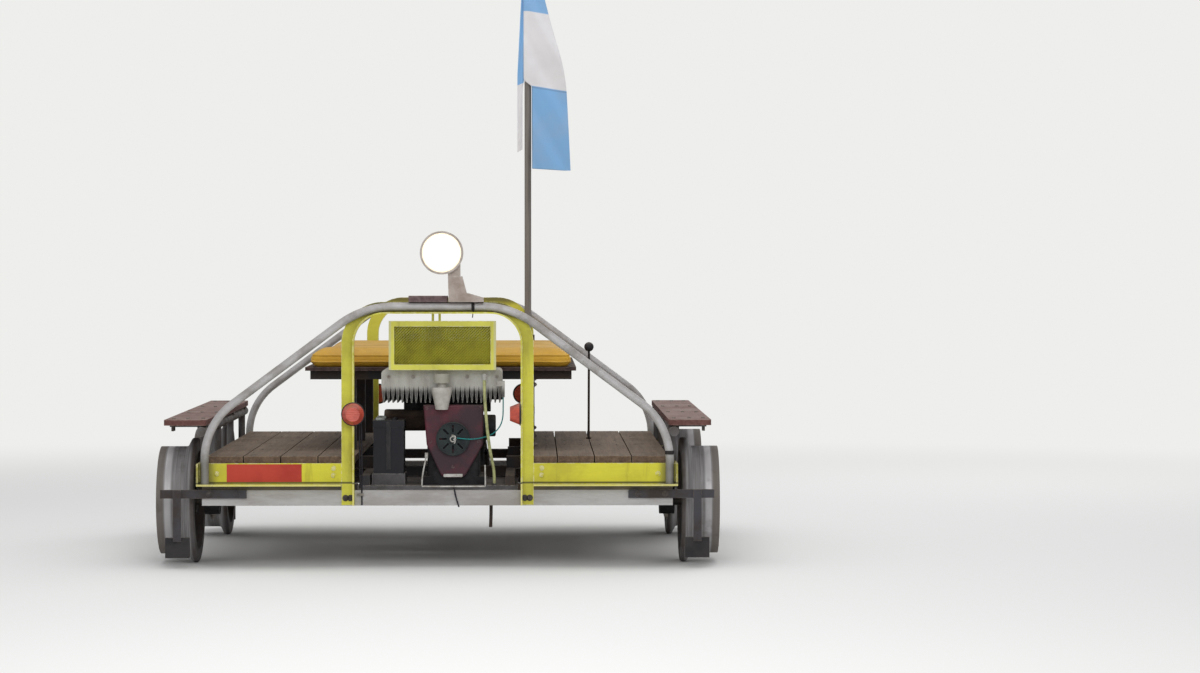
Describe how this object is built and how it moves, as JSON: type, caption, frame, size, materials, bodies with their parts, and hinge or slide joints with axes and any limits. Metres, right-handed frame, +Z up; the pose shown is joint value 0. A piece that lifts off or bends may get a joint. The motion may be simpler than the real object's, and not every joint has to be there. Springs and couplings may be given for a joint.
{
  "type": "railway motor handcar",
  "caption": "Light motorised rail handcar with a bench along the middle, side decks and foot boards, front engine under a tube hoop, headlamp and flag.",
  "frame": {"origin": "middle of the wheelbase and of the gauge, at the underside of the wheel flanges", "axes": "+Z up, -Y towards the front end with the engine and headlamp, +X to the right seen from the front"},
  "size_m": [1.846, 1.81, 2.2449],
  "materials": {
    "yellow_paint": "lemon yellow brushed paint, chipped and dusty",
    "olive_mesh": "woven wire painted olive yellow",
    "galvanised_tube": "dull galvanised",
    "silver_paint": "weathered silver paint",
    "dark_steel": "black paint with rust and dust",
    "grey_paint": "grey paint",
    "deck_wood": "dry weathered planks",
    "foot_board_wood": "reddish brown painted wood",
    "orange_vinyl": "orange yellow vinyl, worn",
    "wheel_steel": "polished tread, rusty disc",
    "axle_steel": "oily steel",
    "cast_iron": "sooty black",
    "cast_aluminium": "cast, dull",
    "red_enamel": "dark red enamel, dusty",
    "black_plastic": "matt black",
    "rusty_steel": "heat rusted",
    "black_rubber": "scuffed rubber",
    "lamp_glass": "lit clear glass",
    "orange_plastic": "orange red plastic",
    "khaki_hose": "khaki rubber",
    "teal_cord": "braided cord",
    "pole_wood": "turned pole",
    "flag_cloth": "light woven cloth, light blue and white"
  },
  "bodies": {
    "chassis": {"air_cleaner": "black_plastic", "arch_front": "yellow_paint", "arch_rear": "yellow_paint", "battery": "black_plastic", "battery_tray": "grey_paint", "bearing_blocks": "cast_iron", "brake_gear": "dark_steel", "brake_lever": "dark_steel", "centre_rails": "dark_steel", "cross_ties": "dark_steel", "deck_bearers": "dark_steel", "deck_left": "deck_wood", "deck_right": "deck_wood", "drive_belt": "black_rubber", "drive_pulley": "axle_steel", "end_sills": "yellow_paint", "engine_bed": "grey_paint", "engine_block": "cast_iron", "engine_cover": "cast_aluminium", "engine_shroud": "red_enamel", "flag": "flag_cloth", "flag_pole": "pole_wood", "foot_board_left": "foot_board_wood", "foot_board_right": "foot_board_wood", "foot_rail_left": "galvanised_tube", "foot_rail_right": "galvanised_tube", "front_beam": "silver_paint", "fuel_bowl": "cast_aluminium", "fuel_hose": "khaki_hose", "gearbox": "cast_iron", "grille_frame": "yellow_paint", "grille_mesh": "olive_mesh", "headlamp_bowl": "grey_paint", "headlamp_lens": "lamp_glass", "hoop_front": "galvanised_tube", "hoop_rear": "galvanised_tube", "lamp_block": "foot_board_wood", "lamp_bracket": "grey_paint", "marker_lamps": "orange_plastic", "pole_clamps": "dark_steel", "rear_beam": "silver_paint", "recoil_starter": "black_plastic", "seat_bearers": "dark_steel", "seat_board": "deck_wood", "seat_cushion": "orange_vinyl", "seat_posts": "dark_steel", "side_sill_left": "yellow_paint", "side_sill_right": "yellow_paint", "silencer": "rusty_steel", "starter_cord": "teal_cord", "sweeper_arms": "dark_steel", "sweeper_pads": "black_rubber"},
    "front_wheelset": {"front_axle": "axle_steel", "front_wheel_left": "wheel_steel", "front_wheel_right": "wheel_steel"},
    "rear_wheelset": {"axle_pulley": "axle_steel", "rear_axle": "axle_steel", "rear_wheel_left": "wheel_steel", "rear_wheel_right": "wheel_steel"}
  },
  "joints": [
    {"name": "front_wheelset_roll", "type": "hinge", "parent": "chassis", "child": "front_wheelset", "pos_m": [0, -0.575, 0.206], "axis": [1, 0, 0], "continuous": true},
    {"name": "rear_wheelset_roll", "type": "hinge", "parent": "chassis", "child": "rear_wheelset", "pos_m": [0, 0.575, 0.206], "axis": [1, 0, 0], "continuous": true}
  ]
}
